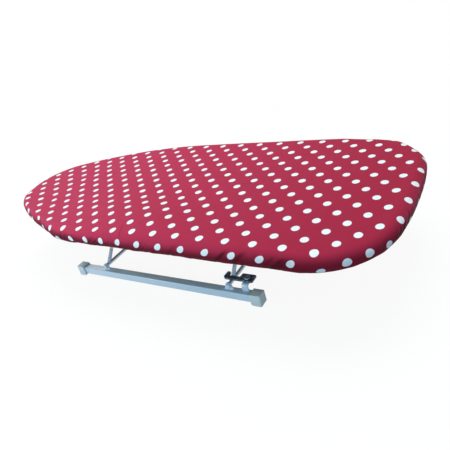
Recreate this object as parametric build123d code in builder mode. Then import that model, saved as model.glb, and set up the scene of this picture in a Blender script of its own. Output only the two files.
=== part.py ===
from build123d import *
import os
from math import atan2, degrees, radians, sqrt, tan

# Tabletop ironing board on a folding wire stand. +X runs toward the wide tail end, +Z is up, and
# the origin lies on the table, below the middle of the board.

# Board outline, seen from above
board_length = 721.0
board_half_width = 155.5
nose_radius = 98.0
taper_radius = 520.0
tail_corner_radius = 98.0
tail_edge_radius = 610.0

# Board layers
panel_thickness = 15.0
panel_inset = 6.5
pad_thickness = 8.0
cover_thickness = 1.5
cover_top_radius = 13.0
cover_bottom_bevel = 7.0
pad_bevel = 7.0
layer_gap = 0.3
hem_drop = 3.5
hem_width = 25.0
elastic_width = 5.0
elastic_thickness = 2.0
elastic_edge = 3.0
elastic_play = 0.2

# Foot rails: square tubes that lie lengthwise under each side of the board
rail_size = 12.7
rail_wall = 1.2
rail_corner_radius = 1.5
rail_nose_x = -196.0
rail_tail_x = 175.0
rail_y = 101.0

# Plastic end caps, which are the feet
cap_length = 16.0
cap_wall = 1.9
cap_end_wall = 2.5
cap_foot = 3.5
cap_foot_setback = 3.5
cap_edge_bevel = 1.0
cap_fit = 0.05

# Legs: two bent-wire frames, each welded to a cross axle
nose_station = -127.0
tail_station = 122.0
wire_radius = 3.0
wire_bend_radius = 12.0
leg_rise = 73.8
leg_lean = 41.5
nose_leg_foot_y = 93.0
tail_leg_foot_y = 87.0
axle_radius = 3.0
axle_chamfer = 0.6
pivot_gap = 0.05
weld_gap = 0.05

# Pivot ears on the rails
ear_rise = 5.6
ear_inset = 1.5
ear_radius = 4.6
ear_thickness = 3.0
ear_foot = 13.0
ear_foot_height = 1.5

# Push-on axle caps
axle_cap_radius = 3.9
axle_cap_length = 2.2
axle_cap_wall = 0.8
axle_cap_play = 0.3

# Hinge brackets under the board
hinge_drop = 11.5
bracket_length = 44.0
bracket_width = 22.0
bracket_thickness = 2.0
bracket_cheek_radius = 5.5
bracket_cheek_top = 20.0
bracket_corner_radius = 4.0
screw_spacing = 32.0
screw_radius = 2.0
screw_head_radius = 4.0
screw_head_height = 2.4
screw_length = 12.0
screw_fit = 0.05

# Hook latch on the near rail, which holds the tail leg upright
lug_width = 9.5
lug_thickness = 2.5
lug_bend_radius = 2.75
lug_reach = 5.5
lug_inset = 2.8
latch_x = 26.5
latch_y = 88.0
latch_lift = 5.0
latch_thickness = 3.0
latch_play = 0.15
latch_near = 6.0
latch_far = 9.0
latch_tail = 10.5
latch_prong = 6.0
latch_corner_radius = 2.0
latch_nose_radius = 5.0
throat_play = 1.8
throat_floor = 1.0
throat_tail = 12.0
rivet_radius = 2.5
rivet_gap = 0.06
rivet_head_radius = 4.3
rivet_head_height = 2.0
rivet_head_bevel = 1.2
rivet_tail_radius = 3.9
rivet_tail_height = 1.2

# Levels, from the table up
rail_z = cap_foot + rail_size / 2
rail_top = cap_foot + rail_size
axle_z = rail_top + ear_rise
hinge_z = axle_z + leg_rise
panel_bottom = hinge_z + hinge_drop
panel_top = panel_bottom + panel_thickness
pad_top = panel_top + pad_thickness
cover_top = pad_top + cover_thickness
cover_bottom = panel_bottom - hem_drop
latch_bottom = axle_z + latch_lift
lug_top = latch_bottom - latch_play

# Seats along the cross axles, out from the middle
ear_y = rail_y - ear_inset
axle_cap_y = ear_y + ear_thickness / 2 + axle_cap_play
axle_end = axle_cap_y + axle_cap_length - axle_cap_wall
stations = {"nose": nose_station, "tail": tail_station}
leg_feet = {"nose": nose_leg_foot_y, "tail": tail_leg_foot_y}
sides = {"near": -rail_y, "far": rail_y}

os.makedirs("parts", exist_ok=True)


def write(builder, name):
    """Labels a finished sub-part and writes it to its own file."""
    builder.part.label = name
    export_step(builder.part, f"parts/{name}.step")


# Board outline: nose arc, two long taper arcs, straight sides, rounded tail corners and a bowed
# tail edge, each tangent to the next
nose_centre_x = nose_radius - board_length / 2
taper_centre_y = board_half_width - taper_radius
taper_x = nose_centre_x + sqrt((taper_radius - nose_radius) ** 2 - taper_centre_y**2)
taper_angle = degrees(atan2(-taper_centre_y, nose_centre_x - taper_x))
edge_centre_x = board_length / 2 - tail_edge_radius
corner_centre_y = board_half_width - tail_corner_radius
corner_x = edge_centre_x + sqrt((tail_edge_radius - tail_corner_radius) ** 2 - corner_centre_y**2)
corner_angle = degrees(atan2(corner_centre_y, corner_x - edge_centre_x))

with BuildSketch() as outline:
    with BuildLine():
        CenterArc((nose_centre_x, 0), nose_radius, taper_angle, 360 - 2 * taper_angle)
        CenterArc((taper_x, taper_centre_y), taper_radius, 90, taper_angle - 90)
        CenterArc((taper_x, -taper_centre_y), taper_radius, -90, 90 - taper_angle)
        Line((taper_x, board_half_width), (corner_x, board_half_width))
        Line((taper_x, -board_half_width), (corner_x, -board_half_width))
        CenterArc((corner_x, corner_centre_y), tail_corner_radius, corner_angle, 90 - corner_angle)
        CenterArc((corner_x, -corner_centre_y), tail_corner_radius, -corner_angle, corner_angle - 90)
        CenterArc((edge_centre_x, 0), tail_edge_radius, -corner_angle, 2 * corner_angle)
    make_face()

with BuildPart() as board_panel:
    with BuildSketch(Plane.XY.offset(panel_bottom)):
        offset(outline.sketch, amount=-panel_inset)
    extrude(amount=panel_thickness)
    with BuildSketch(Plane.XY.offset(panel_bottom)):
        for station in stations.values():
            for shift in (-screw_spacing / 2, screw_spacing / 2):
                with Locations((station + shift, 0)):
                    Circle(screw_radius + screw_fit)
    extrude(amount=screw_length - bracket_thickness + screw_fit, mode=Mode.SUBTRACT)
write(board_panel, "board_panel")

with BuildPart() as pad:
    with BuildSketch(Plane.XY.offset(panel_top)):
        offset(outline.sketch, amount=-cover_thickness - layer_gap)
    extrude(amount=pad_thickness)
    chamfer(pad.faces().sort_by(Axis.Z)[-1].edges(), pad_bevel)
write(pad, "pad")

# The cover wraps the pad and the panel. Its gathered hem turns in below the panel, and a rebate
# in the hem holds the elastic against the panel's underside.
elastic_inset = hem_width - elastic_edge - elastic_width
inside_bevel = cover_bottom_bevel + cover_thickness * (sqrt(2) - 1) - hem_drop

with BuildPart() as cover_inside:
    with BuildSketch(Plane.XY.offset(panel_bottom)):
        offset(outline.sketch, amount=-cover_thickness)
    extrude(amount=pad_top - panel_bottom)
    chamfer(cover_inside.faces().sort_by(Axis.Z)[-1].edges(), pad_bevel)
    chamfer(cover_inside.faces().sort_by(Axis.Z)[0].edges(), inside_bevel)

with BuildPart() as cover:
    with BuildSketch(Plane.XY.offset(cover_bottom)):
        add(outline.sketch)
    extrude(amount=cover_top - cover_bottom)
    fillet(cover.faces().sort_by(Axis.Z)[-1].edges(), cover_top_radius)
    chamfer(cover.faces().sort_by(Axis.Z)[0].edges(), cover_bottom_bevel)
    add(cover_inside.part, mode=Mode.SUBTRACT)
    with BuildSketch(Plane.XY.offset(cover_bottom)):
        offset(outline.sketch, amount=-hem_width)
    extrude(amount=hem_drop, mode=Mode.SUBTRACT)
    with BuildSketch(Plane.XY.offset(panel_bottom)):
        offset(outline.sketch, amount=-elastic_inset + elastic_play)
    extrude(amount=-elastic_thickness - elastic_play, mode=Mode.SUBTRACT)
write(cover, "cover")

with BuildPart() as hem_elastic:
    with BuildSketch(Plane.XY.offset(panel_bottom - elastic_play)):
        offset(outline.sketch, amount=-elastic_inset)
        offset(outline.sketch, amount=elastic_edge - hem_width, mode=Mode.SUBTRACT)
    extrude(amount=-elastic_thickness)
write(hem_elastic, "hem_elastic")

# Hinge brackets: a screwed web with two cheeks that the wire's top span turns in
for end, station in stations.items():
    with BuildPart() as bracket:
        with BuildSketch(Plane.XY.offset(panel_bottom)):
            with Locations((station, 0)):
                RectangleRounded(bracket_length, bracket_width, bracket_corner_radius)
                with GridLocations(screw_spacing, 0, 2, 1):
                    Circle(screw_radius + screw_fit, mode=Mode.SUBTRACT)
        extrude(amount=-bracket_thickness)
        for cheek_y in (-bracket_width / 2 + bracket_thickness, bracket_width / 2):
            with BuildSketch(Plane.XZ.offset(cheek_y)):
                with Locations((station, hinge_z)):
                    Circle(bracket_cheek_radius)
                with Locations((station, panel_bottom - bracket_thickness / 2)):
                    Rectangle(bracket_cheek_top, bracket_thickness)
                make_hull()
                with Locations((station, hinge_z)):
                    Circle(wire_radius + pivot_gap, mode=Mode.SUBTRACT)
            extrude(amount=-bracket_thickness)
    write(bracket, f"{end}_hinge_bracket")

with BuildPart() as hinge_screws:
    for station in stations.values():
        for shift in (-screw_spacing / 2, screw_spacing / 2):
            head_z = panel_bottom - bracket_thickness
            with BuildSketch(Plane.XY.offset(head_z)):
                with Locations((station + shift, 0)):
                    Circle(screw_head_radius)
            extrude(amount=-screw_head_height)
            with BuildSketch(Plane.XY.offset(head_z)):
                with Locations((station + shift, 0)):
                    Circle(screw_radius)
            extrude(amount=screw_length)
write(hinge_screws, "hinge_screws")

# Legs: each wire narrows upward to its hinge, and is welded onto a cross axle below
for end, station in stations.items():
    with BuildPart() as axle:
        with BuildSketch(Plane.XZ.offset(-axle_end)):
            with Locations((station, axle_z)):
                Circle(axle_radius)
        extrude(amount=2 * axle_end)
        chamfer(axle.faces().filter_by(Axis.Y).edges(), axle_chamfer)
    write(axle, f"{end}_cross_axle")

    leg_foot_y = leg_feet[end]
    leg_top_y = leg_foot_y - leg_rise * tan(radians(leg_lean))
    with BuildPart() as leg:
        with BuildLine(Plane.YZ.offset(station)) as bend:
            FilletPolyline(
                (-leg_foot_y, axle_z),
                (-leg_top_y, hinge_z),
                (leg_top_y, hinge_z),
                (leg_foot_y, axle_z),
                radius=wire_bend_radius,
            )
        with BuildSketch(Plane(origin=bend.wire() @ 0, z_dir=bend.wire() % 0)):
            Circle(wire_radius)
        sweep()
        with BuildSketch(Plane.XZ.offset(-axle_end)):
            with Locations((station, axle_z)):
                Circle(axle_radius + weld_gap)
        extrude(amount=2 * axle_end, mode=Mode.SUBTRACT)
    write(leg, f"{end}_leg_wire")

    with BuildPart() as axle_caps:
        for side in (-1, 1):
            with BuildSketch(Plane((station, side * axle_cap_y, axle_z), z_dir=(0, side, 0))):
                Circle(axle_cap_radius)
            extrude(amount=axle_cap_length)
            with BuildSketch(Plane((station, side * axle_cap_y, axle_z), z_dir=(0, side, 0))):
                Circle(axle_radius + weld_gap)
            extrude(amount=axle_end + weld_gap - axle_cap_y, mode=Mode.SUBTRACT)
    write(axle_caps, f"{end}_axle_caps")

# Foot rails, with an ear welded on top at each leg and a plastic cap on each end
for side, y in sides.items():
    ear_front = ear_y - ear_thickness / 2 if y > 0 else -ear_y - ear_thickness / 2
    with BuildPart() as rail:
        with BuildSketch(Plane.YZ.offset(rail_nose_x + cap_end_wall)):
            with Locations((y, rail_z)):
                RectangleRounded(rail_size, rail_size, rail_corner_radius)
                Rectangle(rail_size - 2 * rail_wall, rail_size - 2 * rail_wall, mode=Mode.SUBTRACT)
        extrude(amount=rail_tail_x - rail_nose_x - 2 * cap_end_wall)
    write(rail, f"{side}_foot_rail")

    for end, station in stations.items():
        with BuildPart() as ear:
            with BuildSketch(Plane.XZ.offset(-ear_front)):
                with Locations((station, axle_z)):
                    Circle(ear_radius)
                with Locations((station, rail_top + ear_foot_height / 2)):
                    Rectangle(ear_foot, ear_foot_height)
                make_hull()
                with Locations((station, axle_z)):
                    Circle(axle_radius + pivot_gap, mode=Mode.SUBTRACT)
            extrude(amount=-ear_thickness)
        write(ear, f"{side}_{end}_ear")

    cap_width = rail_size + 2 * cap_wall
    cap_top = rail_top + cap_wall
    sleeve_bottom = cap_foot - cap_wall
    for end, outer_x, inward in (("nose", rail_nose_x, 1), ("tail", rail_tail_x, -1)):
        inner_x = outer_x + inward * cap_length
        with BuildPart() as cap:
            with BuildSketch(Plane.XZ.offset(-y - cap_width / 2)):
                with BuildLine():
                    Polyline(
                        (outer_x, 0),
                        (outer_x, cap_top),
                        (inner_x, cap_top),
                        (inner_x, sleeve_bottom),
                        (inner_x - inward * cap_foot_setback, 0),
                        close=True,
                    )
                make_face()
            extrude(amount=cap_width)
            outer_face = cap.faces().sort_by(Axis.X)[0 if inward > 0 else -1]
            chamfer(outer_face.edges().filter_by(Axis.Z), cap_edge_bevel)
            chamfer(cap.faces().sort_by(Axis.Z)[-1].edges().filter_by(Axis.X), cap_edge_bevel)
            with BuildSketch(Plane.YZ.offset(outer_x + inward * cap_end_wall)):
                with Locations((y, rail_z)):
                    RectangleRounded(rail_size + 2 * cap_fit, rail_size + 2 * cap_fit, rail_corner_radius)
            extrude(amount=inward * cap_length, mode=Mode.SUBTRACT)
        write(cap, f"{side}_{end}_end_cap")

# Hook latch: a lug bent inward off the near rail carries a rivet, and the hook swings on it
rivet_x = tail_station + latch_x
rivet_y = -latch_y

with BuildPart() as latch_lug:
    with BuildSketch(Plane.YZ.offset(rivet_x - lug_width / 2)):
        with BuildLine():
            FilletPolyline(
                (lug_inset - rail_y, rail_top),
                (lug_inset - rail_y, lug_top - lug_thickness / 2),
                (rivet_y + lug_reach, lug_top - lug_thickness / 2),
                radius=lug_bend_radius,
            )
        trace(line_width=lug_thickness)
    extrude(amount=lug_width)
    with BuildSketch(Plane.XY.offset(lug_top)):
        with Locations((rivet_x, rivet_y)):
            Circle(rivet_radius + weld_gap)
    extrude(amount=-lug_thickness, mode=Mode.SUBTRACT)
write(latch_lug, "latch_lug")

with BuildPart() as latch_rivet:
    with BuildSketch(Plane.XY.offset(lug_top - lug_thickness)):
        with Locations((rivet_x, rivet_y)):
            Circle(rivet_tail_radius)
    extrude(amount=-rivet_tail_height)
    with BuildSketch(Plane.XY.offset(lug_top - lug_thickness)):
        with Locations((rivet_x, rivet_y)):
            Circle(rivet_radius)
    extrude(amount=lug_thickness + latch_thickness + 2 * latch_play)
    with BuildSketch(Plane.XY.offset(latch_bottom + latch_thickness + latch_play)):
        with Locations((rivet_x, rivet_y)):
            Circle(rivet_head_radius)
    extrude(amount=rivet_head_height)
    chamfer(latch_rivet.faces().sort_by(Axis.Z)[-1].edges(), rivet_head_bevel)
write(latch_rivet, "latch_rivet")

# The hook, drawn about its rivet: its throat is open inward, and its prong stands on the nose side
# of the leg wire, so the wire can't lean until the hook swings out
throat_nose = latch_x + wire_radius + throat_play

with BuildPart() as latch_hook:
    with BuildSketch(Plane((rivet_x, rivet_y, latch_bottom))) as hook_outline:
        with BuildLine():
            Polyline(
                (latch_tail, -latch_near),
                (latch_tail, latch_far),
                (-throat_tail, latch_far),
                (-throat_tail, throat_floor),
                (-throat_nose, throat_floor),
                (-throat_nose, latch_far),
                (-throat_nose - latch_prong, latch_far),
                (-throat_nose - latch_prong, -latch_near),
                close=True,
            )
        make_face()
        fillet(hook_outline.vertices().sort_by(Axis.X)[:2].sort_by(Axis.Y)[0], latch_nose_radius)
        square_corners = hook_outline.vertices().filter_by(lambda v: v.Y > 0 or v.X > 0)
        fillet(square_corners, latch_corner_radius)
        Circle(rivet_radius + rivet_gap, mode=Mode.SUBTRACT)
    extrude(amount=latch_thickness)
write(latch_hook, "latch_hook")
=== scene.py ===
from math import acos, atan2, ceil, cos, exp, hypot, pi, radians, sin, sqrt

import bmesh
import bpy
from mathutils import Matrix, Vector, noise


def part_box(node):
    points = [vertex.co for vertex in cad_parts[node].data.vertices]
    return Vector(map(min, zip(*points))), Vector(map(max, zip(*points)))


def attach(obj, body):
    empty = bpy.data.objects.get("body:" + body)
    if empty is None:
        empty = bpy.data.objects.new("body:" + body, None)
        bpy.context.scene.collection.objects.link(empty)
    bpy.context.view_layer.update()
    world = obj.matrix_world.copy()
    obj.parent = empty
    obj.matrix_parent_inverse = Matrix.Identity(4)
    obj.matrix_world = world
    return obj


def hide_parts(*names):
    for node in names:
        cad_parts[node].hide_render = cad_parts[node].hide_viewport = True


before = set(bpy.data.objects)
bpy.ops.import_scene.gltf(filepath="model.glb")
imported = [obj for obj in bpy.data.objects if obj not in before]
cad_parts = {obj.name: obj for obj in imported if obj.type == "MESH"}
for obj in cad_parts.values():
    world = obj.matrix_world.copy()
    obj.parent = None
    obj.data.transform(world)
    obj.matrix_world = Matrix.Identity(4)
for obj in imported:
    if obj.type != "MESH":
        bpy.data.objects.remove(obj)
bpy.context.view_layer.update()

# Camera. It stands off the near side toward the tail, a little above the board, and leans to one
# side, so the long edge of the board climbs from left to right. A least-squares fit to the grid of
# dots gave its place and angles.
camera_place = (0.46372, -0.49499, 0.39801)
camera_heading, camera_tilt, camera_lean = 38.677, 61.598, -16.704
camera_lens = 36.3

camera = bpy.data.objects.new("camera", bpy.data.cameras.new("camera"))
camera.data.lens = camera_lens
camera.data.clip_start, camera.data.clip_end = 0.02, 60
camera.matrix_world = (
    Matrix.Translation(camera_place)
    @ Matrix.Rotation(radians(camera_heading), 4, "Z")
    @ Matrix.Rotation(radians(camera_tilt), 4, "X")
    @ Matrix.Rotation(radians(camera_lean), 4, "Z")
)
bpy.context.scene.collection.objects.link(camera)
bpy.context.scene.camera = camera
bpy.context.scene.view_settings.view_transform = "Standard"


# Foot rails. Two 12.7 mm square steel tubes in smooth grey-blue enamel, which lie along the board.
# The pivot ears for the legs' axles and the latch's lug are welded on top and enamelled with them.
class Tap:
    """One output of a shader node. Sums and products of taps add Math nodes."""

    def __init__(self, graph, socket):
        self.graph = graph
        self.socket = socket

    def math(self, operation, *others):
        return self.graph.node("Math", {"operation": operation}, self, *others)

    def __add__(self, other):
        return self.math("ADD", other)

    def __sub__(self, other):
        return self.math("SUBTRACT", other)

    def __rsub__(self, other):
        return self.graph.node("Math", {"operation": "SUBTRACT"}, other, self)

    def __mul__(self, other):
        return self.math("MULTIPLY", other)

    __radd__ = __add__
    __rmul__ = __mul__


class Graph:
    """The nodes of a material or of the room, and the node that they all feed."""

    def __init__(self, block, fed, **constants):
        block.use_nodes = True
        self.block = block
        self.tree = block.node_tree
        self.fed = self.tree.nodes[fed]
        for socket, value in constants.items():
            self.fed.inputs[socket.replace("_", " ")].default_value = value

    def node(self, kind, settings, *values, out=0, **named):
        """Adds a node: its settings first, then its sockets in order, then its sockets by name."""
        made = self.tree.nodes.new("ShaderNode" + kind)
        for key, value in settings.items():
            setattr(made, key, value)
        sockets = {s.name.replace(" ", "_"): s for s in made.inputs} | {s.identifier: s for s in made.inputs}
        for socket, value in [*zip(made.inputs, values), *((sockets[k], v) for k, v in named.items())]:
            if isinstance(value, Tap):
                self.tree.links.new(value.socket, socket)
            elif value is not None:
                opaque = isinstance(value, tuple) and socket.type == "RGBA"
                socket.default_value = (*value, 1) if opaque else value
        return Tap(self, made.outputs[out])

    def place(self):
        """Where a point of the piece lies in the part's own frame at rest."""
        return self.node("TexCoord", {}, out="Object")

    def part(self, vector, axis):
        """The X, Y or Z of a vector."""
        return self.node("SeparateXYZ", {}, vector, out=axis)

    def joined(self, *parts):
        return self.node("CombineXYZ", {}, *parts)

    def blend(self, factor, first, second):
        settings = {"data_type": "RGBA"}
        return self.node("Mix", settings, out=2, Factor_Float=factor, A_Color=first, B_Color=second)

    def noise(self, where, scale, detail=3.0, roughness=0.5):
        return self.node("TexNoise", {}, Vector=where, Scale=scale, Detail=detail, Roughness=roughness)

    def stretch(self, where, *scale):
        return self.node("VectorMath", {"operation": "MULTIPLY"}, where, scale)

    def band(self, value, low, high):
        """0 below low and 1 above high, with a smooth step between."""
        settings = {"interpolation_type": "SMOOTHSTEP"}
        return self.node("MapRange", settings, value, low, high, 0.0, 1.0)

    def bump(self, height, distance, strength=1.0, normal=None):
        return self.node("Bump", {}, Strength=strength, Distance=distance, Height=height, Normal=normal)

    def feed(self, **links):
        """Links what varies from place to place to the node at the end."""
        for socket, value in links.items():
            self.tree.links.new(value.socket, self.fed.inputs[socket.replace("_", " ")])
        return self.block


def finish(name, **constants):
    """A new material, with the constants on its shader's own sockets."""
    return Graph(bpy.data.materials.new(name), "Principled BSDF", **constants)


def stand(bm, name, material, body, slot, *nodes):
    """Makes a finished mesh an object that rides on its body and stands for its CAD nodes."""
    mesh = bpy.data.meshes.new(name)
    bm.to_mesh(mesh)
    bm.free()
    piece = bpy.data.objects.new(name, mesh)
    bpy.context.scene.collection.objects.link(piece)
    mesh.materials.append(material)
    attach(piece, body)
    if nodes:
        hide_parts(*nodes)
    return piece


def shade_smooth(bm, crisp=2 * pi):
    """Shades the faces smooth, and leaves each edge crisp that turns by more than the angle."""
    for face in bm.faces:
        face.smooth = True
    for edge in bm.edges:
        edge.smooth = len(edge.link_faces) != 2 or edge.calc_face_angle() < crisp


def refined(name, node, material, body, slot, round_over=0.0):
    """A merged, smooth-shaded copy of a CAD piece, with its sharp edges broken by a small round."""
    crisp = radians(35)
    bm = bmesh.new()
    bm.from_mesh(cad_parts[node].data)
    bmesh.ops.remove_doubles(bm, verts=bm.verts, dist=0.00001)
    if round_over:
        bmesh.ops.dissolve_limit(bm, angle_limit=radians(1), verts=bm.verts, edges=bm.edges)
        sharp = [e for e in bm.edges if len(e.link_faces) == 2 and e.calc_face_angle() > crisp]
        bmesh.ops.bevel(
            bm,
            geom=sharp,
            offset=round_over,
            affect="EDGES",
            segments=2,
            profile=0.5,
            material=-1,
            clamp_overlap=True,
        )
    shade_smooth(bm, crisp)
    return stand(bm, name, material, body, slot, node)


def close_up(bm, crisp=2 * pi):
    """Merges the vertices that meet, turns the faces outward and shades them smooth."""
    bmesh.ops.remove_doubles(bm, verts=bm.verts, dist=0.00002)
    bmesh.ops.recalc_face_normals(bm, faces=bm.faces)
    shade_smooth(bm, crisp)


def turned(bm, section, centre, axis, steps):
    """Turns an open section of points through a full circle."""
    line = [bm.verts.new(point) for point in section]
    edges = [bm.edges.new(pair) for pair in zip(line, line[1:])]
    bmesh.ops.spin(bm, geom=line + edges, cent=centre, axis=axis, angle=2 * pi, steps=steps, use_merge=True)


def ring_edges(bm, ring):
    """The edges of a closed ring of vertices."""
    return [bm.edges.get(pair) for pair in zip(ring, [*ring[1:], ring[0]])]


def extrude_ring(bm, ring):
    """Extrudes a closed ring of vertices and returns the new ring in the same order."""
    made = bmesh.ops.extrude_edge_only(bm, edges=ring_edges(bm, ring))["geom"]
    new = {v for v in made if isinstance(v, bmesh.types.BMVert)}
    return [next(e.other_vert(v) for e in v.link_edges if e.other_vert(v) in new) for v in ring]


def closed_tube(bm, ring, section, lay):
    """Extrudes a closed ring through each corner of a section and back to the first corner."""
    for step, corner in enumerate((*section, section[0])):
        ring = extrude_ring(bm, ring) if step else ring
        for index, vert in enumerate(ring):
            lay(vert, index, corner)
    close_up(bm)


def weld_bead(path, thickness):
    """A bead of weld along a closed path of points, a little uneven in girth."""
    sides, unevenness, lump_scale = 8, 0.35, 900

    def lay(vert, index, turn):
        spot = path[index]
        ahead = (path[(index + 1) % len(path)] - path[index - 1]).normalized()
        side = ahead.cross(Vector((0, 0, 1)))
        side = side.normalized() if side.length > 0.1 else Vector((1, 0, 0))
        over = side.cross(ahead)
        girth = thickness * (1 + unevenness * noise.noise(spot * lump_scale))
        vert.co = spot + (side * cos(turn) + over * sin(turn)) * girth

    bead = bmesh.new()
    ring = bmesh.ops.create_circle(bead, segments=len(path), radius=1)["verts"]
    closed_tube(bead, ring, [2 * pi * k / sides for k in range(sides)], lay)
    return bead


enamel = finish("grey_blue_enamel", Coat_Weight=0.25, Coat_Roughness=0.18, Specular_IOR_Level=0.45)
spot = enamel.place()
cloudy = enamel.noise(spot, 38, 4.0, 0.6)
specks = enamel.band(enamel.noise(spot, 900, 2.0, 0.7), 0.60, 0.74)
worn = enamel.band(enamel.noise(enamel.stretch(spot, 14, 160, 160), 1.0, 5.0, 0.65), 0.60, 0.72)
paint = enamel.blend(cloudy, (0.42, 0.55, 0.66), (0.49, 0.64, 0.77))
paint = enamel.blend(specks * 0.25, paint, (0.16, 0.22, 0.28))
paint = enamel.blend(worn * 0.22, paint, (0.52, 0.60, 0.64))
orange_peel = enamel.bump(enamel.noise(spot, 620, 2.0, 0.5), 0.00006, 0.5)
rail_paint = enamel.feed(Base_Color=paint, Roughness=0.30 + 0.16 * cloudy + 0.10 * worn, Normal=orange_peel)

weld_steps, weld_rise, weld_girth = 44, 0.0003, 0.0008
for side in ("near", "far"):
    refined(f"{side}_rail_tube", f"{side}_foot_rail", rail_paint, "base", "rail_steel", 0.00025)
    for end in ("nose", "tail"):
        refined(f"{side}_{end}_pivot_ear", f"{side}_{end}_ear", rail_paint, "base", "rail_steel", 0.0003)
        ear_low, ear_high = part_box(f"{side}_{end}_ear")
        middle = (ear_low + ear_high) / 2
        half_long, half_wide = (ear_high.x - ear_low.x) / 2, (ear_high.y - ear_low.y) / 2
        foot = []
        for k in range(weld_steps):
            a = 2 * pi * k / weld_steps
            reach = max(abs(cos(a)) / half_long, abs(sin(a)) / half_wide)
            foot.append(Vector((middle.x + cos(a) / reach, middle.y + sin(a) / reach, ear_low.z + weld_rise)))
        stand(weld_bead(foot, weld_girth), f"{side}_{end}_ear_weld", rail_paint, "base", "rail_steel")
refined("latch_post", "latch_lug", rail_paint, "base", "rail_steel", 0.0003)

# End caps. A cap of pale grey plastic, moulded with a matt grain, is pushed over each end of the rails.
# The four caps are the feet that the stand rests on.
moulded = finish("grey_plastic", Specular_IOR_Level=0.40)
spot = moulded.place()
mottle = moulded.noise(spot, 60, 3.0, 0.5)
scuffs = moulded.band(moulded.noise(moulded.stretch(spot, 90, 320, 320), 1.0, 4.0, 0.7), 0.60, 0.75)
shell = moulded.blend(mottle, (0.46, 0.56, 0.60), (0.55, 0.65, 0.69))
shell = moulded.blend(scuffs * 0.30, shell, (0.24, 0.28, 0.30))
grain = moulded.bump(moulded.noise(spot, 1500, 2.0, 0.6), 0.00005, 0.6)
cap_plastic = moulded.feed(Base_Color=shell, Roughness=0.46 + 0.14 * mottle, Normal=grain)
for side in ("near", "far"):
    for end in ("nose", "tail"):
        refined(f"{side}_{end}_foot_cap", f"{side}_{end}_end_cap", cap_plastic, "base", "cap_plastic", 0.0006)

# Legs. Each is a frame of bright 6 mm wire, bent in at the top for its hinge and welded at both feet to
# a plated cross axle. The axle turns in the rails' ears and ends in push-on caps.
wire = finish("bright_wire", Metallic=0.70)
spot = wire.place()
drawn = wire.noise(wire.stretch(spot, 700, 260, 90), 1.0, 4.0, 0.6)
dull = wire.noise(spot, 55, 3.0, 0.55)
blued_to, bright_from = 0.027, 0.045
heat = 1 - wire.band(wire.part(spot, "Z"), blued_to, bright_from)
metal = wire.blend(drawn, (0.28, 0.34, 0.37), (0.44, 0.50, 0.53))
metal = wire.blend(heat * 0.55, metal, (0.12, 0.22, 0.40))
scratch = wire.bump(drawn, 0.00005, 0.4)
bright_wire = wire.feed(Base_Color=metal, Roughness=0.20 + 0.18 * dull, Normal=scratch)

axle_finish = finish("plated_axle", Metallic=0.75)
spot = axle_finish.place()
grooves = axle_finish.noise(axle_finish.stretch(spot, 400, 30, 400), 1.0, 3.0, 0.5)
plate = axle_finish.blend(grooves, (0.34, 0.42, 0.48), (0.48, 0.56, 0.62))
plate_bump = axle_finish.bump(grooves, 0.00004, 0.4)
plated_axle = axle_finish.feed(Base_Color=plate, Roughness=0.26 + 0.16 * grooves, Normal=plate_bump)

# The welds round the wires' feet.
foot_inward, foot_rise = 0.0042, 0.72
bead_steps, bead_girth = 28, 0.0009
bead_long, bead_wide, bead_slope = 0.0031, 0.0040, 0.0022

# The axle's caps, from the middle of the dome to the open rim: share of the radius, share of the depth.
cap_depth = 0.0022
cap_profile = (
    (0.0, 0.0), (0.55, -0.02), (0.80, -0.08), (0.94, -0.22),
    (1.0, -0.48), (1.0, -0.90), (0.94, -1.0), (0.78, -1.0),
)

for end in ("nose", "tail"):
    body = f"{end}_leg"
    refined(f"{end}_leg_frame", f"{end}_leg_wire", bright_wire, body, "wire_steel")
    refined(f"{end}_axle_rod", f"{end}_cross_axle", plated_axle, body, "wire_steel")
    wire_low, wire_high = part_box(f"{end}_leg_wire")
    axle_low, axle_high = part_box(f"{end}_cross_axle")
    axle_mid = (axle_low + axle_high) / 2
    axle_radius = (axle_high.z - axle_low.z) / 2
    for side, edge, inward in (("near", wire_low.y, 1), ("far", wire_high.y, -1)):
        foot = Vector((axle_mid.x, edge + inward * foot_inward, axle_mid.z + axle_radius * foot_rise))
        path = []
        for k in range(bead_steps):
            a = 2 * pi * k / bead_steps
            path.append(foot + Vector((bead_long * cos(a), bead_wide * sin(a), inward * bead_slope * sin(a))))
        stand(weld_bead(path, bead_girth), f"{end}_{side}_leg_weld", bright_wire, body, "wire_steel")
    cap_low, cap_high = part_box(f"{end}_axle_caps")
    cap_radius = (cap_high.z - cap_low.z) / 2
    caps = bmesh.new()
    for tip_y, facing in ((cap_low.y, -1), (cap_high.y, 1)):
        section = [(cap_radius * r, tip_y + facing * cap_depth * deep) for r, deep in cap_profile]
        section = [(axle_mid.x + out, y, axle_mid.z) for out, y in section]
        turned(caps, section, (axle_mid.x, 0, axle_mid.z), (0, 1, 0), 32)
    close_up(caps)
    stand(caps, f"{end}_push_caps", rail_paint, body, "bright_steel", f"{end}_axle_caps")

# Latch. A hook stamped from thick steel sheet and blackened. It swings on a hollow rivet in the rail's
# lug, and its prong holds the tail leg's wire upright.
blacked = finish("blackened_steel", Metallic=0.35, Specular_IOR_Level=0.55)
spot = blacked.place()
smoke_and_sheen = blacked.noise(spot, 90, 4.0, 0.6)
rubs_and_glints = blacked.band(blacked.noise(blacked.stretch(spot, 160, 160, 60), 1.0, 4.0, 0.6), 0.50, 0.64)
# Painted reflection: the smoky mottle runs to a blue sheen and the rubbed spots to bright blue glints, which
# stand in for blue reflections.
black = blacked.blend(smoke_and_sheen, (0.017, 0.015, 0.018), (0.075, 0.105, 0.160))
black = blacked.blend(rubs_and_glints * 0.75, black, (0.13, 0.22, 0.40))
black_bump = blacked.bump(smoke_and_sheen, 0.0001, 0.35)
black_steel = blacked.feed(Base_Color=black, Roughness=0.34 + 0.20 * smoke_and_sheen, Normal=black_bump)
refined("hook_plate", "latch_hook", black_steel, "latch", "hook_steel", 0.00035)

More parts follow.
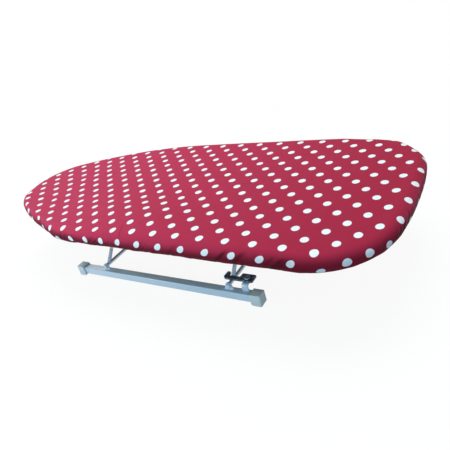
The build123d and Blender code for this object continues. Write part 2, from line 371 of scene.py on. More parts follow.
rivet_finish = finish("rivet_steel", Metallic=0.85)
spot = rivet_finish.place()
tarnish = rivet_finish.noise(spot, 420, 3.0, 0.6)
dark_plate = rivet_finish.blend(tarnish, (0.10, 0.14, 0.19), (0.24, 0.30, 0.36))
rivet_bump = rivet_finish.bump(tarnish, 0.00006, 0.5)
rivet_steel = rivet_finish.feed(Base_Color=dark_plate, Roughness=0.28 + 0.22 * tarnish, Normal=rivet_bump)

rivet_low, rivet_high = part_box("latch_rivet")
rivet_mid = (rivet_low + rivet_high) / 2
head_radius = (rivet_high.x - rivet_low.x) / 2
head_height, shank_radius, tail_radius, tail_height = 0.0020, 0.0025, 0.0039, 0.0012
hollow_and_lip = (
    (0.0, 0.0014), (0.0012, 0.0013), (0.0017, 0.0006), (0.0022, 0.0001), (0.0029, 0.0), (0.0037, 0.0004)
)
section = [(r, rivet_high.z - deep) for r, deep in hollow_and_lip]
section += [
    (head_radius, rivet_high.z - 0.0012), (head_radius, rivet_high.z - head_height),
    (shank_radius, rivet_high.z - head_height), (shank_radius, rivet_low.z + tail_height),
    (tail_radius, rivet_low.z + tail_height), (tail_radius - 0.0005, rivet_low.z), (0.0, rivet_low.z),
]
rivet = bmesh.new()
turned(rivet, [(rivet_mid.x + r, rivet_mid.y, z) for r, z in section], rivet_mid, (0, 0, 1), 40)
close_up(rivet, radians(50))
stand(rivet, "hollow_rivet", rivet_steel, "base", "rivet_steel", "latch_rivet")

# Board panel and hinges. A panel of bare particle board, sawn to the board's outline. A pressed and
# zinc-plated bracket for each leg is held under it by two cross-head screws.
chipboard = finish("particle_board", Roughness=0.88, Specular_IOR_Level=0.15)
spot = chipboard.place()
pressed_flat = chipboard.stretch(spot, 300, 180, 300)
chips = chipboard.node("TexVoronoi", {}, Vector=pressed_flat, Scale=1.0, out="Color")
chip = chipboard.part(chips, "X")
fines = chipboard.noise(spot, 500, 4.0, 0.7)
wood = chipboard.blend(chip, (0.46, 0.31, 0.17), (0.70, 0.53, 0.34))
wood = chipboard.blend(0.55 * fines, wood, (0.30, 0.19, 0.10))
press_marks = chipboard.bump(chip * 0.6 + fines * 0.4, 0.0003, 0.5)
panel_wood = chipboard.feed(Base_Color=wood, Normal=press_marks)
panel_low, panel_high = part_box("board_panel")
refined("chipboard_panel", "board_panel", panel_wood, "board", "panel_wood", 0.0004)

plated = finish("zinc_plate", Metallic=0.95)
spot = plated.place()
spangle = plated.node("TexVoronoi", {}, Vector=spot, Scale=210.0, out="Color")
facet = plated.part(spangle, "X")
stain = plated.noise(spot, 70, 4.0, 0.6)
zinc = plated.blend(facet, (0.46, 0.48, 0.50), (0.62, 0.64, 0.66))
zinc = plated.blend(0.35 * stain, zinc, (0.36, 0.33, 0.25))
zinc_bump = plated.bump(plated.noise(spot, 800, 2.0, 0.5), 0.00005, 0.4)
zinc_plate = plated.feed(Base_Color=zinc, Roughness=0.30 + 0.20 * stain, Normal=zinc_bump)

screw_low, screw_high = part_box("hinge_screws")
screw_spacing, head_seat, tip_length = 0.032, 0.002, 0.0015
head_radius, shank_radius = 0.004, 0.002
dome_steps, dome_rise, dome_power = 11, 0.55, 3.5
slot_half, slot_reach, slot_depth = 0.00055, 0.0021, 0.0012
seat = panel_low.z - head_seat
head_depth = seat - screw_low.z
section = []
for i in range(dome_steps + 1):
    share = i / dome_steps
    section.append((head_radius * share, screw_low.z + head_depth * dome_rise * share**dome_power))
section += [(head_radius, seat), (shank_radius, seat)]
section += [(shank_radius, screw_high.z - tip_length), (0.0, screw_high.z)]
screws = bmesh.new()
for end in ("nose", "tail"):
    refined(f"{end}_hinge_plate", f"{end}_hinge_bracket", zinc_plate, "board", "bracket_steel", 0.0003)
    bracket_low, bracket_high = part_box(f"{end}_hinge_bracket")
    for shift in (-screw_spacing / 2, screw_spacing / 2):
        centre = Vector(((bracket_low.x + bracket_high.x) / 2 + shift, 0, 0))
        turned(screws, [centre + Vector((r, 0, z)) for r, z in section], centre, (0, 0, 1), 48)
        # A cross is pressed into the head.
        for vert in screws.verts:
            narrow, wide = sorted((abs(vert.co.x - centre.x), abs(vert.co.y)))
            if vert.co.z < seat - 0.0002 and narrow < slot_half and wide < slot_reach:
                vert.co.z = screw_low.z + slot_depth * (1 - wide / slot_reach / 2)
close_up(screws, radians(35))
stand(screws, "cross_head_screws", zinc_plate, "board", "rivet_steel", "hinge_screws")

# Felt pad. Grey wool felt, 8 mm thick, is cut to the board's outline and lies loose on the panel. Only
# the cover holds it. It is soft, so its top swells where the cotton is slack and sinks where the
# cotton pulls it down over the edge.
cover_low, cover_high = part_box("cover")
board_length = cover_high.x - cover_low.x
half_width = cover_high.y
cover_top, cover_bottom = cover_high.z, cover_low.z
nose_radius, taper_radius, corner_radius, edge_radius = 0.098, 0.520, 0.098, 0.610
loop_spacing, top_round = 0.003, 0.013


def board_loop(bm):
    """The board's outline as a closed loop of vertices, each bend spun about its own centre."""
    nose = Vector((nose_radius - board_length / 2, 0, 0))
    drop = half_width - taper_radius
    taper = Vector((nose.x + sqrt((taper_radius - nose_radius) ** 2 - drop**2), drop, 0))
    edge = Vector((board_length / 2 - edge_radius, 0, 0))
    rise = half_width - corner_radius
    corner = Vector((edge.x + sqrt((edge_radius - corner_radius) ** 2 - rise**2), rise, 0))
    taper_turn = atan2(-drop, nose.x - taper.x)
    corner_turn = atan2(rise, corner.x - edge.x)
    tip = bmesh.ops.create_vert(bm, co=(-board_length / 2, 0, 0))["vert"][0]
    bends = (
        (nose, nose_radius, pi - taper_turn),
        (taper, taper_radius, taper_turn - pi / 2),
        (None, corner.x - taper.x, 0),
        (corner, corner_radius, pi / 2 - corner_turn),
        (edge, edge_radius, corner_turn),
    )
    for centre, size, turn in bends:
        steps = ceil(size * (turn or 1) / loop_spacing)
        if centre is None:
            path = {"cent": tip.co, "dvec": Vector((size / steps, 0, 0)), "angle": 0}
        else:
            path = {"cent": centre, "angle": turn}
        made = bmesh.ops.spin(bm, geom=[tip], axis=(0, 0, -1), steps=steps, **path)
        tip = [v for v in made["geom_last"] if isinstance(v, bmesh.types.BMVert)][0]
    bmesh.ops.mirror(bm, geom=bm.verts[:] + bm.edges[:], axis="Y", merge_dist=-1)
    bmesh.ops.remove_doubles(bm, verts=bm.verts, dist=loop_spacing / 50)


def walk_round(bm):
    """The loop's vertices in order, with the way out and the way along at each."""
    first = min(bm.verts, key=lambda v: v.co.x)
    line, last = [first], None
    while len(line) < len(bm.verts):
        ahead = [e.other_vert(line[-1]) for e in line[-1].link_edges]
        ahead = [v for v in ahead if v is not last and v is not first]
        step = max(ahead, key=lambda v: v.co.y) if last is None else ahead[0]
        last = line[-1]
        line.append(step)
    count = len(line)
    along = [(line[(i + 1) % count].co - line[i - 1].co).normalized() for i in range(count)]
    return line, [Vector((-a.y, a.x, 0)) for a in along], along


def smooth_step(value, low, high):
    """0 below low and 1 above high, with a smooth step between."""
    share = min(max((value - low) / (high - low), 0), 1)
    return share * share * (3 - 2 * share)


def along_table(table, value):
    """A value between the rows of a two-column table, flat beyond its ends."""
    for (x0, y0), (x1, y1) in zip(table, table[1:]):
        if value <= x1:
            return y0 + (y1 - y0) * max(value - x0, 0) / (x1 - x0)
    return table[-1][1]


# Each swell or hollow: where its middle is, how far it reaches both ways, and its height. The numbers
# are the rounded result of a least-squares fit to where the dots lie, and weren't chosen by hand.
hollows_and_swells = (
    (-0.0333, -0.1111, 0.1170, 0.0378, 0.0090),
    (-0.0800, -0.1233, 0.1019, 0.0350, -0.0079),
    (-0.1897, -0.0862, 0.0715, 0.0747, -0.0025),
    (0.3400, -0.1635, 0.0806, 0.0807, -0.0063),
    (0.3346, 0.0375, 0.0150, 0.2500, -0.0011),
    (0.1606, 0.1173, 0.0771, 0.0300, 0.0009),
    (0.1694, -0.0112, 0.1068, 0.0784, 0.0008),
)
unevenness, lump_scale, lump_seed = 0.0003, 16, 3


def swell(x, y):
    """How far the padding stands above its plain height."""
    lumps = sum(h * exp(-(((x - a) / p) ** 2) - ((y - b) / q) ** 2) for a, b, p, q, h in hollows_and_swells)
    return lumps + unevenness * noise.noise(Vector((x * lump_scale, y * lump_scale, lump_seed)))


# From nose to tail: how far in, or down, the slack edge lies from its plain outline.
near_tucks = (
    (-0.3605, 0.0020), (-0.335, 0.0020), (-0.223, 0.0040), (-0.209, 0.0048), (-0.198, 0.0034),
    (-0.185, 0.0025), (-0.173, 0.0010), (-0.160, -0.0010), (-0.140, -0.0014), (-0.125, -0.0010),
    (-0.100, 0.0),
)
far_tucks = (
    (-0.3605, 0.0020), (-0.330, 0.0040), (-0.200, 0.0034), (-0.100, 0.0014), (0.0, 0.0), (0.260, 0.0),
    (0.300, 0.0028), (0.340, 0.0034), (0.3605, 0.0),
)
far_sags = (
    (-0.3605, 0.0052), (-0.300, 0.0056), (-0.230, 0.0026), (-0.100, 0.0006), (0.0, 0.0), (0.225, 0.0),
    (0.260, 0.0030), (0.290, 0.0028), (0.315, 0.0003), (0.3605, 0.0),
)


def tuck(spot, fall):
    """How far in the slack edge lies from the plain outline, on the near and the far side."""
    near = smooth_step(-spot.y, -0.02, 0.02)
    nearly = near * along_table(near_tucks, spot.x) * smooth_step(fall, 0, 0.014)
    return nearly + (1 - near) * along_table(far_tucks, spot.x) * smooth_step(fall, -0.001, 0.008)


def sag(spot, fall):
    """How far the edge hangs below the plain edge, round the nose and along the far side."""
    far = 1 - smooth_step(-spot.y, 0.0, 0.08)
    return far * along_table(far_sags, spot.x) * smooth_step(fall, -0.006, 0.006)


wool = finish("grey_felt", Roughness=0.95, Specular_IOR_Level=0.1, Sheen_Weight=0.3)
spot = wool.place()
fibres = wool.noise(wool.stretch(spot, 1, 1, 0.4), 700, 5.0, 0.75)
clumps = wool.noise(spot, 90, 3.0, 0.6)
tufts = wool.band(wool.noise(wool.stretch(spot, 60, 240, 120), 1.0, 4.0, 0.7), 0.58, 0.66)
felt_colour = wool.blend(clumps, (0.42, 0.40, 0.37), (0.58, 0.56, 0.52))
felt_colour = wool.blend(tufts * 0.5, felt_colour, (0.24, 0.26, 0.30))
felt = wool.feed(Base_Color=felt_colour, Normal=wool.bump(fibres, 0.0006, 0.8))

pad_gap, pad_seat, pad_foot = 0.0012, panel_high.z + 0.0002, 0.0072
pad_edge_steps, pad_top_steps = 8, 12
crown_bunching, crown_end = 1.15, 0.985
spine_squeeze, spine_tail = 0.92, 0.130
arc_centre = cover_top - top_round
arc_inner = top_round - pad_gap


def pad_point(spot, out, share):
    """A point of the pad's rounded edge, between the crown (0) and the pad's underside (1)."""
    low = spot - out * 0.003
    room = pad_seat + 0.0001 - arc_centre - swell(low.x, low.y) + sag(spot, top_round)
    a = share * acos(min(max(room / arc_inner, -0.2), 0.999))
    place = spot - out * (top_round - arc_inner * sin(a) + tuck(spot, top_round * a))
    place.z = arc_centre + arc_inner * cos(a) + swell(place.x, place.y) - sag(spot, top_round * a)
    return place


def crown(bm, line, spots, outward, height, steps, after=None):
    """Fills the top inside the edge with rings that close in on the board's spine."""
    spine = (nose_radius - board_length / 2, board_length / 2 - spine_tail)
    ring = line
    for share in [*((step / steps) ** crown_bunching for step in range(1, steps)), crown_end]:
        ring = extrude_ring(bm, ring)
        for vert, spot, out in zip(ring, spots, outward):
            rib = Vector((min(max(spot.x * spine_squeeze, spine[0]), spine[1]), 0, 0))
            vert.co = (spot - out * top_round).lerp(rib, share)
            vert.co.z = height + swell(vert.co.x, vert.co.y)
            if after:
                after(vert)
    bmesh.ops.triangle_fill(bm, use_beauty=True, edges=ring_edges(bm, ring))


pad_mesh = bmesh.new()
board_loop(pad_mesh)
line, outward, _ = walk_round(pad_mesh)
spots = [v.co.copy() for v in line]
for step in range(pad_edge_steps + 1):
    ring = extrude_ring(pad_mesh, ring) if step else line
    for vert, spot, out in zip(ring, spots, outward):
        vert.co = pad_point(spot, out, step / pad_edge_steps)
ring = extrude_ring(pad_mesh, ring)
for vert, spot, out in zip(ring, spots, outward):
    vert.co = spot - out * pad_foot
    vert.co.z = pad_seat
bmesh.ops.triangle_fill(pad_mesh, use_beauty=True, edges=ring_edges(pad_mesh, ring))
crown(pad_mesh, line, spots, outward, cover_top - pad_gap, pad_top_steps)
bmesh.ops.recalc_face_normals(pad_mesh, faces=pad_mesh.faces)
shade_smooth(pad_mesh)
felt_pad = stand(pad_mesh, "felt_pad", felt, "board", "pad_felt", "pad")

# Elastic. A flat white braid with rubber threads runs inside the hem all the way round. It lies
# stretched there, a little rippled, and draws the cover in under the panel.
braid_inset, braid_width, braid_pitch = 0.0195, 0.0042, 0.0012
ripple_length, ripple_height = 0.008, 0.00012
elastic_low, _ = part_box("hem_elastic")
braid_low, braid_high = elastic_low.z + 0.0003, elastic_low.z + 0.0010
braided = finish("braided_elastic", Roughness=0.75, Specular_IOR_Level=0.3)
run_here = braided.node("UVMap", {"uv_map": "run"})
run_long, run_wide = braided.part(run_here, "X"), braided.part(run_here, "Y")
strand = ((run_long + run_wide) * (2 * pi / braid_pitch)).math("SINE")
cross = ((run_long - run_wide) * (2 * pi / braid_pitch)).math("SINE")
rubber = braided.band(strand * cross, -0.2, 0.7)
braid_colour = braided.blend(rubber, (0.60, 0.60, 0.58), (0.86, 0.86, 0.84))
braid = braided.feed(Base_Color=braid_colour, Normal=braided.bump(rubber, 0.0002, 0.7))

band = bmesh.new()
band.verts.layers.float_vector.new("run")
board_loop(band)
line, outward, _ = walk_round(band)
spots = [v.co.copy() for v in line]
total = sum((spots[i] - spots[i - 1]).length for i in range(len(spots)))
stations = [0.0]
for before, here in zip(spots, spots[1:]):
    stations.append(stations[-1] + (here - before).length)
run_layer = band.verts.layers.float_vector["run"]
half = braid_width / 2
shoulder = half * 0.6
corners = (
    (-half, 0), (-shoulder, 1), (0, 1), (shoulder, 1), (half, 0), (shoulder, -1), (0, -1), (-shoulder, -1)
)


def lay_braid(vert, index, corner):
    """Places a vertex of the braid, and notes how far round and how far across it lies."""
    across, up = corner
    wave = ripple_height * sin(stations[index] * 2 * pi / ripple_length)
    vert.co = spots[index] - outward[index] * (braid_inset + across)
    vert.co.z = (braid_low + braid_high) / 2 + up * (braid_high - braid_low) / 2 + wave
    vert[run_layer] = Vector((stations[index], across, 0))


def lay_run(bm, total):
    """Writes the way round and the way across to a UV map, without a jump where the loop closes."""
    uv = bm.loops.layers.uv.new("run")
    layer = bm.verts.layers.float_vector["run"]
    for face in bm.faces:
        along_here = [c.vert[layer].x for c in face.loops]
        jump = max(along_here) - min(along_here) > total / 2
        for c in face.loops:
            x, y = c.vert[layer].xy
            c[uv].uv = (x + total if jump and x < total / 2 else x, y)


closed_tube(band, line, corners, lay_braid)
lay_run(band, total)
stand(band, "gathered_elastic", braid, "board", "elastic_cord", "hem_elastic")

# Cover. One piece of crimson cotton with pale dots, cut wider than the board all round. It is
# pulled over the pad, turned in under the panel and gathered there by the elastic in its hem.
crown_steps, under_round = 16, 0.008
hem_inset, hem_return, hem_turn = 0.0245, 0.0095, 0.0015
under = cover_bottom + 0.0003
gather_depth, gather_lean = 0.0011, 0.82
cloth_thickness, panel_clearance = 0.0006, 0.0007
panel_inset = cover_high.y - panel_high.y
cloth = bmesh.new()
for layer_name in ("cut", "run"):
    cloth.verts.layers.float_vector.new(layer_name)
board_loop(cloth)
line, outward, along = walk_round(cloth)
spots = [v.co.copy() for v in line]

bend_steps, wall_steps, flat_steps, turn_steps, return_steps = 8, 10, 8, 5, 4
edge_steps = bend_steps + wall_steps


def profile():
    """The cloth's run: how far in from the outline, how high, how far along the cloth from the start
    of the edge, and how much it can ripple."""
    run = [(top_round, cover_top, 0.0, 0.0)]
    for i in range(1, bend_steps + 1):
        share = i / bend_steps
        a = pi / 2 * share
        inset, height = top_round * (1 - sin(a)), arc_centre + top_round * cos(a)
        run.append((inset, height, top_round * a, 0.25 * share**2))
    drop = arc_centre - under
    for i in range(1, wall_steps + 1):
        share = i / wall_steps
        a = pi / 2 * share
        inset, height = under_round * (1 - cos(a)), arc_centre - drop * sin(a)
        fall = run[-1][2] + hypot(inset - run[-1][0], height - run[-1][1])
        run.append((inset, height, fall, 0.25 + 0.75 * share))
    start = run[-1][2]
    flat = hem_inset - under_round
    for i in range(1, flat_steps + 1):
        share = i / flat_steps
        run.append((under_round + flat * share, under, start + flat * share, 1.0 - 0.6 * share))
    start = run[-1][2]
    for i in range(1, turn_steps + 1):
        share = i / turn_steps
        a = pi * share
        inset, height = hem_inset + hem_turn * sin(a), under + hem_turn * (1 - cos(a))
        run.append((inset, height, start + hem_turn * a, 0.4 - 0.4 * share))
    start = run[-1][2]
    for i in range(1, return_steps + 1):
        back = hem_return * i / return_steps
        run.append((hem_inset - back, under + 2 * hem_turn, start + back, 0.0))
    return run


run = profile()
cut_beyond = run[-1][2] - top_round
wall_end = run[edge_steps][2]

# From nose to tail: how far the near wall is drawn up, and how far it has slid sideways. The lifts were
# set one by one. The shears are solved from where single dots of the wall lie, then rounded and thinned.
lifts = (
    (-0.180, 0.0), (-0.150, -0.0005), (-0.110, -0.0004), (-0.090, 0.0019), (0.005, 0.0019), (0.012, 0.0007),
    (0.110, 0.0004), (0.120, -0.0005), (0.190, -0.0005), (0.205, -0.0010), (0.235, -0.0004), (0.305, -0.0006),
    (0.335, -0.0004), (0.345, 0.0), (0.3605, 0.0002),
)
shears = (
    (-0.300, 0.0), (-0.161, -0.0022), (-0.104, 0.0020), (-0.067, 0.0023), (-0.031, -0.0014), (0.007, -0.0050),
    (0.044, -0.0056), (0.266, -0.0060), (0.298, -0.0043), (0.317, -0.0014), (0.335, -0.0003), (0.347, 0.0018),
    (0.357, 0.0024), (0.3605, 0.0024),
)
# Each pull: where the cloth has crept along the board, how far that reaches, and how far it crept.
# These come from the same fit as the swells.
pulls = ((0.3583, 0.0579, -0.0040), (0.1677, 0.0919, 0.0013), (-0.2460, 0.0321, 0.0037))


def near_side(spot):
    """1 along the near side and the tail edge, 0 along the far side."""
    return 1 - smooth_step(spot.y, 0.04, 0.10)


def pull(x):
    """How far the cloth has crept along the board where it lies at x."""
    return sum(h * exp(-(((x - a) / r) ** 2)) for a, r, h in pulls)


def ripple(spot, way, fall):
    """How far the gathered cloth stands out of its plain run, from about -1 to 1."""
    slid = spot - way * fall * gather_lean
    wide = noise.noise(Vector((slid.x * 34, slid.y * 34, fall * 14)))
    narrow = noise.noise(Vector((slid.x * 95 + 7, slid.y * 95 - 3, fall * 22)))
    return wide + 0.8 * narrow


# Each fold of the near edge: where it starts, how far it reaches and how deep it is drawn in.
bunched_at = (
    (0.062, 0.006, 0.35), (0.118, 0.006, 0.35), (0.192, 0.006, 1.0), (0.215, 0.006, 0.9), (0.254, 0.005, 0.5),
    (0.266, 0.006, 1.0), (0.272, 0.004, 0.7),
)
bunch_lean, bunch_depth = 0.65, 0.0013


def drawn_in(spot, fall):
    """How far the few slanting folds of the near edge sink in below the board's rim."""
    across = 1 - smooth_step(spot.y, -0.13, -0.11)
    leaning = spot.x + bunch_lean * fall
    sunk = sum(depth * exp(-(((leaning - at) / reach) ** 2)) for at, reach, depth in bunched_at)
    below_rim = smooth_step(fall, 0.010, 0.020) * (1 - smooth_step(fall, 0.022, 0.030))
    return bunch_depth * sunk * across * below_rim


cut, run_layer = cloth.verts.layers.float_vector["cut"], cloth.verts.layers.float_vector["run"]
for step, (inset, height, fall, gather) in enumerate(run):
    ring = extrude_ring(cloth, ring) if step else line
    beneath = step > edge_steps
    settle = 1 - smooth_step(fall, 0.019, wall_end)
    raised = smooth_step(fall, 0.022, 0.033) * (1 - smooth_step(fall, wall_end, wall_end + 0.008))
    tucked = 1 - smooth_step(fall, wall_end, wall_end + 0.010)
    beyond = fall - top_round
    turned_over = min(max((beyond + 0.006) / 0.012, 0), 1.8)
    for vert, spot, out, way, station in zip(ring, spots, outward, along, stations):
        stand_out = gather * gather_depth * ripple(spot, way, fall)
        lift = along_table(lifts, spot.x) * raised * near_side(spot) if spot.y < 0 or spot.x > 0.34 else 0
        within = inset + tuck(spot, fall) * tucked + drawn_in(spot, fall)
        dropped = swell(spot.x - out.x * within, spot.y - out.y * within) - sag(spot, fall)
        level = height + dropped * settle + lift
        past_panel = max(0, panel_low.z - 0.0001 - level, level - panel_high.z)
        if not beneath:
            within = min(within, panel_inset - panel_clearance + 3 * past_panel)
        vert.co = spot - out * within
        vert.co.z = level
        if beneath:
            vert.co.z -= max(stand_out, -0.0003)
        else:
            vert.co += out * stand_out
        crept = pull(spot.x)
        over = turned_over * near_side(spot)
        slip = along_table(shears, spot.x) * over - crept * way.x * (1 - min(over, 1))
        vert[cut] = spot + out * (beyond - crept * out.x) + way * slip
        vert[run_layer] = Vector((station, fall, 0))


def lay_flat(vert):
    """The cotton lies flat on top, so its cut follows the board there."""
    vert[cut] = Vector((vert.co.x - pull(vert.co.x), vert.co.y, 0))
    vert[run_layer] = Vector((0, -0.02, 0))


crown(cloth, line, spots, outward, cover_top, crown_steps, lay_flat)
bmesh.ops.recalc_face_normals(cloth, faces=cloth.faces)
middle = min(cloth.faces, key=lambda f: f.calc_center_median().length)
if middle.normal.z < 0:
    bmesh.ops.reverse_faces(cloth, faces=cloth.faces)
shade_smooth(cloth)
lay = cloth.loops.layers.uv.new("cut")
for face in cloth.faces:
    for c in face.loops:
        c[lay].uv = c.vert[cut].xy
lay_run(cloth, total)

dot_pitch, dot_radius, dot_home = 0.02625, 0.0051, (0.2849, -0.0686)
dot_share, dot_blur = dot_radius / dot_pitch, 0.012
weave_pitch, stitch_pitch, stitch_blur = 0.0007, 0.0032, 0.0003
seam_from, seam_to = wall_end + 0.0075, wall_end + 0.0085
crease_at, crease_cos, crease_sin = (0.0042, -0.144), 0.921, 0.388
nose_lit_crimson, crimson, shaded_crimson = (0.52, 0.044, 0.110), (0.345, 0.021, 0.051), (0.042, 0.002, 0.006)
fold_shadow, crease_shadow, turned_away_shade = (0.05, 0.003, 0.008), (0.16, 0.008, 0.022), (0.040, 0.0015, 0.006)
thread_red, patch_red, stitch_red = (0.36, 0.014, 0.044), (0.56, 0.045, 0.12), (0.50, 0.07, 0.13)
dot_white, thread_grey = (0.88, 0.97, 0.98), (0.66, 0.78, 0.85)
shaded_dot_blue, turned_away_dot_shade = (0.62, 0.80, 0.93), (0.44, 0.52, 0.58)

cotton = finish(
    "dotted_cotton",
    Roughness=0.82,
    Sheen_Weight=0.09,
    Sheen_Roughness=0.35,
    Sheen_Tint=(1.0, 0.70, 0.80, 1),
    Specular_IOR_Level=0.05,
)
lie = cotton.node("UVMap", {"uv_map": "cut"})
along_board, across_board = cotton.part(lie, "X"), cotton.part(lie, "Y")
run_at = cotton.node("UVMap", {"uv_map": "run"})
rim, down = cotton.part(run_at, "X"), cotton.part(run_at, "Y")

# The dots stand in a square grid, turned by 45 degrees. Their edges bleed a little into the threads.
grid = cotton.node(
    "Mapping",
    {"vector_type": "TEXTURE"},
    Vector=lie,
    Location=(*dot_home, 0),
    Rotation=(0, 0, radians(45)),
    Scale=(dot_pitch, dot_pitch, 1),
)
off = cotton.node("VectorMath", {"operation": "ADD"}, grid, (0.5, 0.5, 0.5))
off = cotton.node("VectorMath", {"operation": "FRACTION"}, off)
off = cotton.node("VectorMath", {"operation": "SUBTRACT"}, off, (0.5, 0.5, 0.5))
off = cotton.stretch(off, 1, 1, 0)
far_off = cotton.node("VectorMath", {"operation": "LENGTH"}, off, out="Value")
bleed = cotton.noise(lie, 900, 2.0) * 0.016 - 0.008
dots = 1 - cotton.band(far_off + bleed, dot_share - dot_blur, dot_share + dot_blur)

# Where the cloth is slack, stretched flat, low on the edge, or turned away from the light.
slack = 1 - cotton.band(along_board, -0.16, 0.02)
near_wall = 1 - cotton.band(across_board, -0.13, -0.11)
plain_stretch = near_wall * cotton.band(along_board, -0.06, 0.0)
# Painted light: the cloth is painted lighter toward the nose and darker toward the tail, as the light falls
# off along the board.
toward_tail = cotton.band(along_board, -0.24, 0.44)
# Painted shade: the lowest part of the wall is painted much darker, and the dots on it darker and bluer.
low = cotton.band(down + slack * 0.005, 0.014, 0.027)
# Painted shade: the lower wall at the tail's corner, and its dots, are painted dark where that cloth turns
# away from the light.
turned_away = cotton.band(along_board, 0.14, 0.32) * cotton.band(down, 0.004, 0.020)
turned_away = turned_away * (1 - cotton.band(across_board, -0.12, -0.03))
threads = cotton.noise(lie, 420, 3.0, 0.7)
patches = cotton.noise(lie, 16, 2.0)

# Fine creases where the elastic takes the cloth in. They slant along the rim as they go down.
slanting = rim - gather_lean * down
creases = cotton.noise(cotton.joined(slanting * 62, down * 20, 0.0), 1.0, 2.0, 0.5)
fold = (creases - 0.5).math("ABSOLUTE")
taken_in = cotton.noise(cotton.joined(slanting * 21, down * 16, 4.0), 1.0, 2.0)
pinched = cotton.band(taken_in, 0.44, 0.58) * cotton.band(down, 0.010, 0.020)
pinched = pinched * (1 - 0.75 * slack) * (1 - 0.85 * plain_stretch)
# Painted shadow: the pits darken the cloth along each fine crease.
pits = (1 - cotton.band(fold, 0.010, 0.110)) * pinched

# The few deep folds of the near edge, one crease pressed into the top, the pleats and the hem's stitches.
# The deep folds and the pressed crease are darkened with painted shadow as well as bumped.
leaning = along_board + bunch_lean * down + 0.008 * cotton.noise(lie, 55, 2.0) - 0.004
bunches = cotton.band(down, 0.011, 0.019) * near_wall
bunched = sum(
    bunches * (1 - cotton.band((leaning - at).math("ABSOLUTE"), 0.0002, reach)) * depth
    for at, reach, depth in bunched_at
)
crease_x, crease_y = along_board - crease_at[0], across_board - crease_at[1]
from_line = (crease_x * crease_cos + crease_y * crease_sin).math("ABSOLUTE")
from_middle = (crease_y * crease_cos - crease_x * crease_sin).math("ABSOLUTE")
pressed = (1 - cotton.band(from_line, 0.0002, 0.0016)) * (1 - cotton.band(from_middle, 0.009, 0.017))
pleats = cotton.noise(cotton.joined(rim * 260, down * 26, 9.0), 1.0, 2.0, 0.5)
pleats = pleats * cotton.band(down, wall_end - 0.010, wall_end + 0.006)
seam = 1 - cotton.band(down, seam_to - stitch_blur, seam_to)
seam = cotton.band(down, seam_from, seam_from + stitch_blur) * seam
stitch = seam * cotton.band((rim * (2 * pi / stitch_pitch)).math("SINE"), -0.1, 0.2)

# The cloth's colour: its own tone, threads, patches and stitches, with the painted light and shade laid over
# them.
shade = nose_lit_crimson
for amount, tone in (
    (toward_tail, crimson),
    (low, shaded_crimson),
    (0.92 * turned_away, turned_away_shade),
    (0.30 * threads + 0.03, thread_red),
    (patches * 0.12, patch_red),
    (0.85 * pits, fold_shadow),
    (0.80 * bunched, fold_shadow),
    (0.40 * pressed, crease_shadow),
    (stitch, stitch_red),
):
    shade = cotton.blend(amount, shade, tone)
ink = dot_white
for amount, tone in ((threads * 0.22, thread_grey), (low * 0.5, shaded_dot_blue), (0.80 * turned_away, turned_away_dot_shade)):
    ink = cotton.blend(amount, ink, tone)

warp = (along_board * (2 * pi / weave_pitch)).math("SINE")
weft = (across_board * (2 * pi / weave_pitch)).math("SINE")
relief = None
for height, depth, strength in (
    (warp * weft, 0.00008, 0.6),
    (cotton.noise(lie, 150, 4.0, 0.6), 0.00035, 0.4),
    (cotton.band(fold, 0.0, 0.20) * pinched, 0.0045, 1.0),
    (1 - bunched, 0.0015, 0.9),
    (1 - pressed, 0.0007, 0.8),
    (pleats, 0.0022, 0.9),
    (stitch, 0.0004, 0.8),
):
    relief = cotton.bump(height, depth, strength, relief)
dotted_cotton = cotton.feed(Base_Color=cotton.blend(dots * 0.97, shade, ink), Normal=relief)

cover = stand(cloth, "cotton_cover", dotted_cotton, "board", "cover_cotton", "cover")
thicken = cover.modifiers.new("cloth", "SOLIDIFY")
thicken.thickness, thicken.offset = cloth_thickness, -1
corner_areas = (spots[i - 1].x * spots[i].y - spots[i].x * spots[i - 1].y for i in range(len(spots)))
board_area = abs(sum(corner_areas)) / 2
2 * (half_width + cut_beyond)
board_length + 2 * cut_beyond
board_area + total * cut_beyond + pi * cut_beyond**2

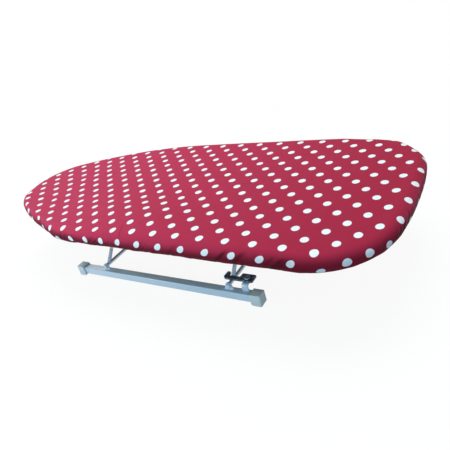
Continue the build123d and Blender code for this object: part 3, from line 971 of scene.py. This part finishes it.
# Floor and light. A plain pale floor, a broad softbox over the nose on the near side, a cooler fill
# from the near side, and a plain pale room all round.
floor_size, floor_drop = 12, 0.0006
floor_mesh = bmesh.new()
bmesh.ops.create_grid(
    floor_mesh, x_segments=1, y_segments=1, size=floor_size, matrix=Matrix.Translation((0, 0, -floor_drop))
)
floor_made = bpy.data.meshes.new("floor")
floor_mesh.to_mesh(floor_made)
floor_mesh.free()
floor = bpy.data.objects.new("floor", floor_made)
bpy.context.scene.collection.objects.link(floor)
paper = Graph(bpy.data.materials.new("floor_paper"), "Material Output")
paper.tree.nodes.remove(paper.tree.nodes["Principled BSDF"])
floor_made.materials.append(paper.block)


def seen_directly(graph):
    """1 where the camera, or a gloss or a glass, looks at the background."""
    rays = ("Is Camera Ray", "Is Glossy Ray", "Is Transmission Ray")
    camera_ray, glossy, through = (graph.node("LightPath", {}, out=ray) for ray in rays)
    return camera_ray.math("MAXIMUM", glossy).math("MAXIMUM", through)


white, floor_grey, room_blue, room_light = (1.0, 1.0, 1.0), (0.30, 0.33, 0.36), (0.90, 0.96, 1.0), 0.27
shadow_from, shadow_to, near_glow = 0.35, 0.95, 0.92
direct = seen_directly(paper)
away = paper.node("VectorMath", {"operation": "LENGTH"}, paper.place(), out="Value")
glowing = direct * paper.node("MapRange", {}, away, shadow_from, shadow_to, near_glow, 1.0)
matte = paper.node("BsdfDiffuse", {}, Color=paper.blend(direct, floor_grey, white))
paper.feed(Surface=paper.node("MixShader", {}, glowing, matte, paper.node("Emission", {})))

room = bpy.data.worlds.new("room")
bpy.context.scene.world = room
air = Graph(room, "Background")
direct = seen_directly(air)
level = air.node("MapRange", {}, direct, 0.0, 1.0, room_light, 1.0)
air.feed(Color=air.blend(direct, room_blue, white), Strength=level)

for name, place, size, power, tone in (
    ("softbox", (0.15, 0.25, 1.7), 1.2, 22, (0.97, 1.0, 1.0)),
    ("side", (-0.55, -0.72, 0.16), 0.4, 3.8, (0.86, 0.98, 1.0)),
    ("fill", (0.85, -1.10, 0.26), 0.7, 8.5, (0.64, 0.86, 1.0)),
    ("rim", (-1.25, 0.35, 0.55), 0.5, 3.4, (0.98, 0.90, 1.0)),
):
    lamp = bpy.data.lights.new(name, "AREA")
    lamp.size, lamp.energy, lamp.color = size, power, tone
    hung = bpy.data.objects.new(name, lamp)
    hung.location = place
    hung.visible_camera = False
    hung.rotation_euler = (-Vector(place)).to_track_quat("-Z", "Y").to_euler()
    bpy.context.scene.collection.objects.link(hung)
